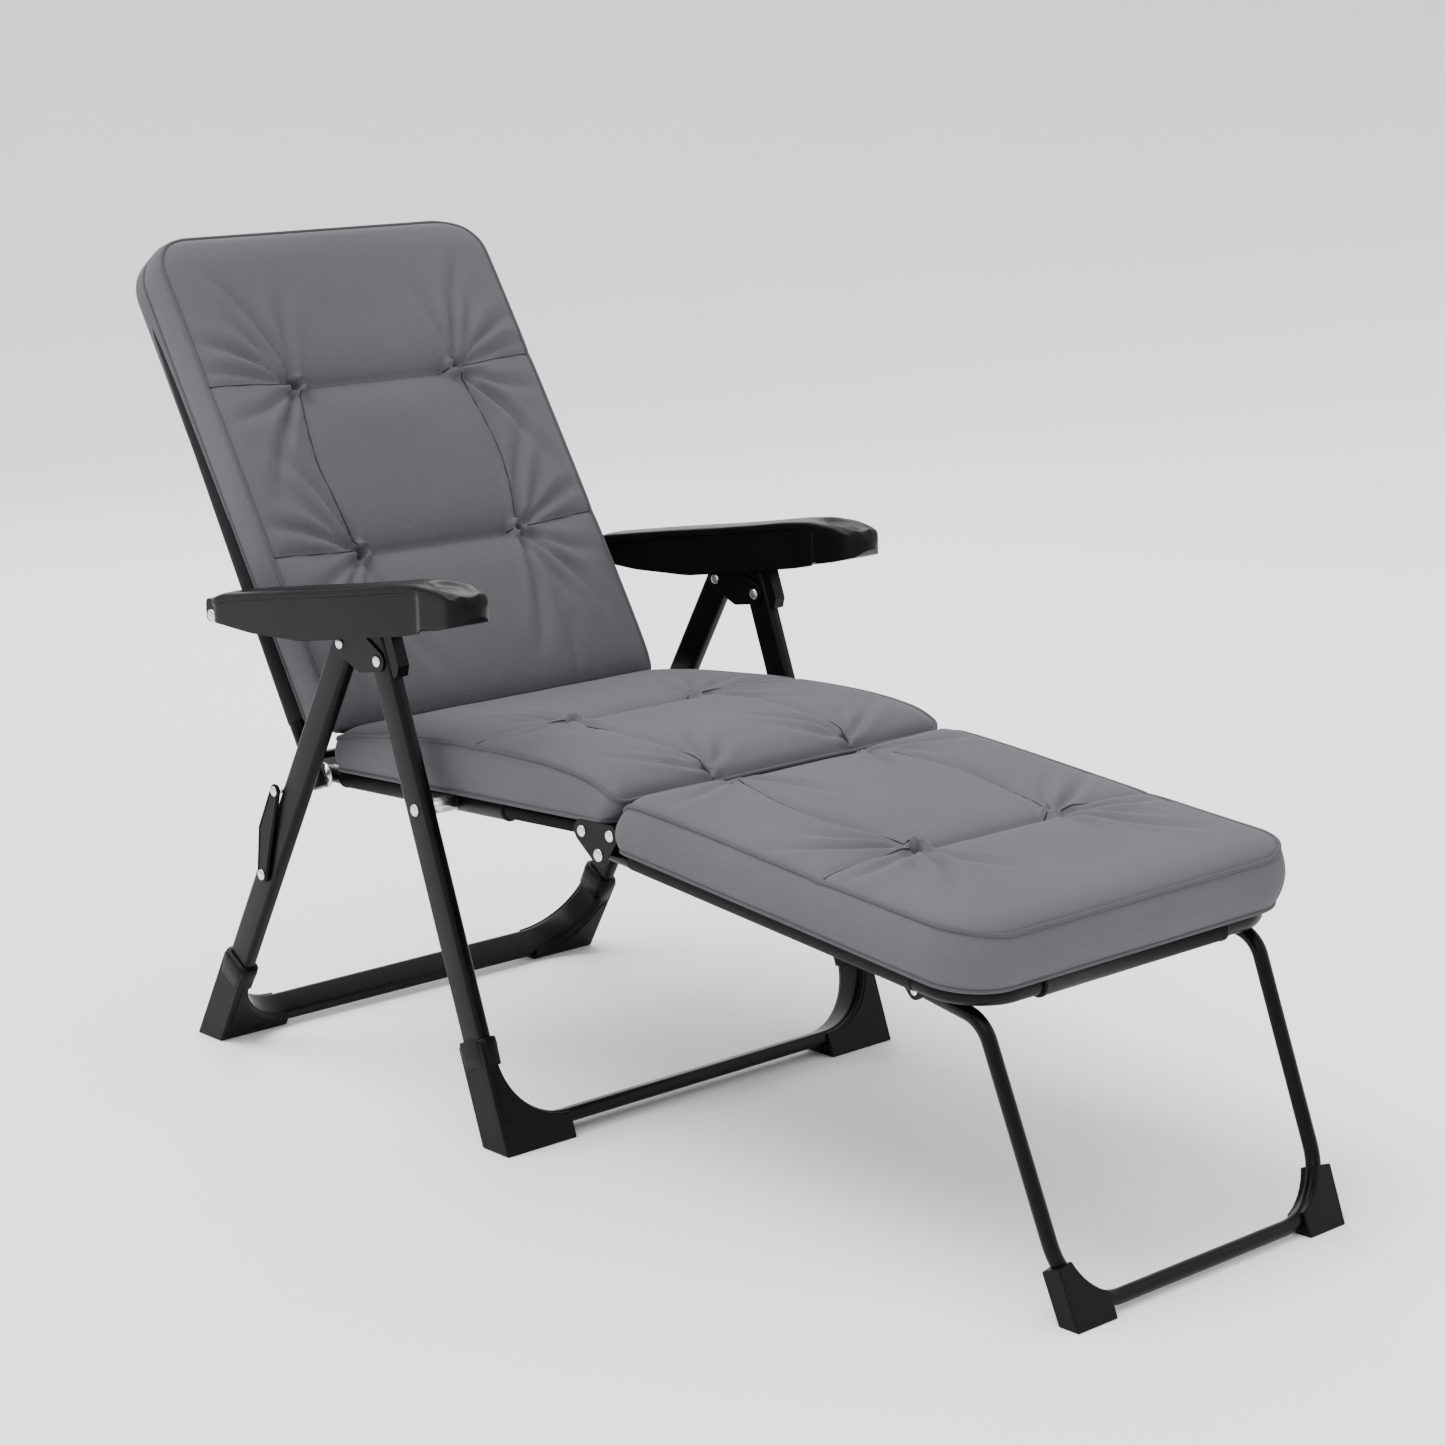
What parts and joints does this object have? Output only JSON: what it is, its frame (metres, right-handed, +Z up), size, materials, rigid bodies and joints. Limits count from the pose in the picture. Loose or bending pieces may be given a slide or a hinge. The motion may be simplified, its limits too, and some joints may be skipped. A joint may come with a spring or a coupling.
{
  "type": "folding padded lounge chair",
  "caption": "Folding lounger: quilted cushions on a black tubular frame that scissors shut, a reclining back, a leg rest with its own stand and hollow sliding armrests.",
  "frame": {"origin": "on the floor under the middle of the open chair", "axes": "+Z up, the sitter faces -Y, +X is the sitter's left"},
  "size_m": [0.628, 1.5394, 0.9642],
  "materials": {
    "frame": "satin powder coat",
    "plastic": "satin",
    "steel": "bright rivet",
    "cushion_fabric": "fine plain weave",
    "sling": "coarse mesh"
  },
  "bodies": {
    "rear_leg": {"rear_leg_frame": "frame", "rear_shoe_right": "plastic", "rear_shoe_left": "plastic", "link_foot_rivet_right": "steel", "link_foot_rivet_left": "steel"},
    "front_leg": {"front_leg_frame": "frame", "front_shoe_right": "plastic", "front_shoe_left": "plastic", "leg_plate_inner_right": "frame", "leg_plate_inner_left": "frame", "leg_plate_outer_right": "frame", "leg_plate_outer_left": "frame", "front_leg_cap_right": "plastic", "front_leg_cap_left": "plastic", "front_leg_rivet_right": "steel", "front_leg_rivet_left": "steel", "rear_leg_pivot_rivet_right": "steel", "rear_leg_pivot_rivet_left": "steel", "arm_slide_pin_right": "steel", "arm_slide_pin_left": "steel", "seat_pivot_rivet_right": "steel", "seat_pivot_rivet_left": "steel"},
    "seat": {"seat_frame": "frame", "seat_sling": "sling", "seat_cushion": "cushion_fabric", "seat_rail_sleeve_right": "plastic", "seat_rail_sleeve_left": "plastic", "knee_plate_right": "frame", "knee_plate_left": "frame", "link_top_pin_right": "steel", "link_top_pin_left": "steel", "knee_pivot_rivet_right": "steel", "knee_pivot_rivet_left": "steel"},
    "back_pivots": {"back_pivot_pin_right": "steel", "back_pivot_pin_left": "steel"},
    "back": {"back_frame": "frame", "back_sling": "sling", "back_cushion": "cushion_fabric", "back_cushion_pocket": "cushion_fabric"},
    "leg_rest": {"leg_rest_frame": "frame", "leg_rest_bar_sleeve": "plastic", "leg_rest_sling": "sling", "leg_rest_cushion": "cushion_fabric", "stand_hanger_right": "frame", "stand_hanger_left": "frame", "stand_pivot_rivet_right": "steel", "stand_pivot_rivet_left": "steel"},
    "stand": {"stand_frame": "frame", "stand_foot_right": "plastic", "stand_foot_left": "plastic"},
    "arm_pivot_right": {"arm_pivot_pin_right": "steel"},
    "armrest_body_right": {"armrest_right": "plastic", "armrest_clevis_right": "plastic", "armrest_rack_right": "frame"},
    "rear_link_body_right": {"rear_link_right": "plastic"},
    "arm_pivot_left": {"arm_pivot_pin_left": "steel"},
    "armrest_body_left": {"armrest_left": "plastic", "armrest_clevis_left": "plastic", "armrest_rack_left": "frame"},
    "rear_link_body_left": {"rear_link_left": "plastic"}
  },
  "joints": [
    {"name": "fold", "type": "hinge", "parent": "rear_leg", "child": "front_leg", "pos_m": [0, 0.26489, 0.536], "axis": [1, 0, 0], "range_deg": [0, 50.5]},
    {"name": "seat_fold", "type": "hinge", "parent": "front_leg", "child": "seat", "pos_m": [0, 0.13714, 0.36475], "axis": [1, 0, 0], "range_deg": [-81.9, 0], "deforming": ["seat_cushion"]},
    {"name": "back_fold", "type": "hinge", "parent": "seat", "child": "back_pivots", "pos_m": [0, 0.39289, 0.353], "axis": [1, 0, 0], "range_deg": [0, 94.1]},
    {"name": "recline", "type": "hinge", "parent": "back_pivots", "child": "back", "pos_m": [0, 0.39289, 0.353], "axis": [1, 0, 0], "range_deg": [-40, 0], "deforming": ["back_cushion"]},
    {"name": "leg_rest_fold", "type": "hinge", "parent": "seat", "child": "leg_rest", "pos_m": [0, -0.12811, 0.354], "axis": [1, 0, 0], "range_deg": [0, 146.9]},
    {"name": "stand_fold", "type": "hinge", "parent": "leg_rest", "child": "stand", "pos_m": [0, -0.56611, 0.294], "axis": [1, 0, 0], "range_deg": [0, 128.1]},
    {"name": "arm_fold_right", "type": "hinge", "parent": "back", "child": "arm_pivot_right", "pos_m": [0, 0.5077, 0.5389], "axis": [1, 0, 0], "range_deg": [-103.9, 0]},
    {"name": "arm_recline_right", "type": "hinge", "parent": "arm_pivot_right", "child": "armrest_body_right", "pos_m": [0, 0.5077, 0.5389], "axis": [1, 0, 0], "range_deg": [0, 21.7]},
    {"name": "link_fold_right", "type": "hinge", "parent": "rear_leg", "child": "rear_link_body_right", "pos_m": [0, 0.44659, 0.23359], "axis": [1, 0, 0], "range_deg": [-145.3, 0]},
    {"name": "arm_fold_left", "type": "hinge", "parent": "back", "child": "arm_pivot_left", "pos_m": [0, 0.5077, 0.5389], "axis": [1, 0, 0], "range_deg": [-103.9, 0]},
    {"name": "arm_recline_left", "type": "hinge", "parent": "arm_pivot_left", "child": "armrest_body_left", "pos_m": [0, 0.5077, 0.5389], "axis": [1, 0, 0], "range_deg": [0, 21.7]},
    {"name": "link_fold_left", "type": "hinge", "parent": "rear_leg", "child": "rear_link_body_left", "pos_m": [0, 0.44659, 0.23359], "axis": [1, 0, 0], "range_deg": [-145.3, 0]}
  ],
  "couplings": [
    {"joint": "seat_fold", "follows": "fold", "ratio": -1.6212},
    {"joint": "back_fold", "follows": "fold", "ratio": 1.8628},
    {"joint": "leg_rest_fold", "follows": "fold", "ratio": 2.907},
    {"joint": "stand_fold", "follows": "fold", "ratio": 2.535},
    {"joint": "arm_fold_right", "follows": "fold", "ratio": -2.0554},
    {"joint": "arm_recline_right", "follows": "recline", "ratio": -0.54},
    {"joint": "link_fold_right", "follows": "fold", "ratio": -2.876},
    {"joint": "arm_fold_left", "follows": "fold", "ratio": -2.0554},
    {"joint": "arm_recline_left", "follows": "recline", "ratio": -0.54},
    {"joint": "link_fold_left", "follows": "fold", "ratio": -2.876}
  ]
}
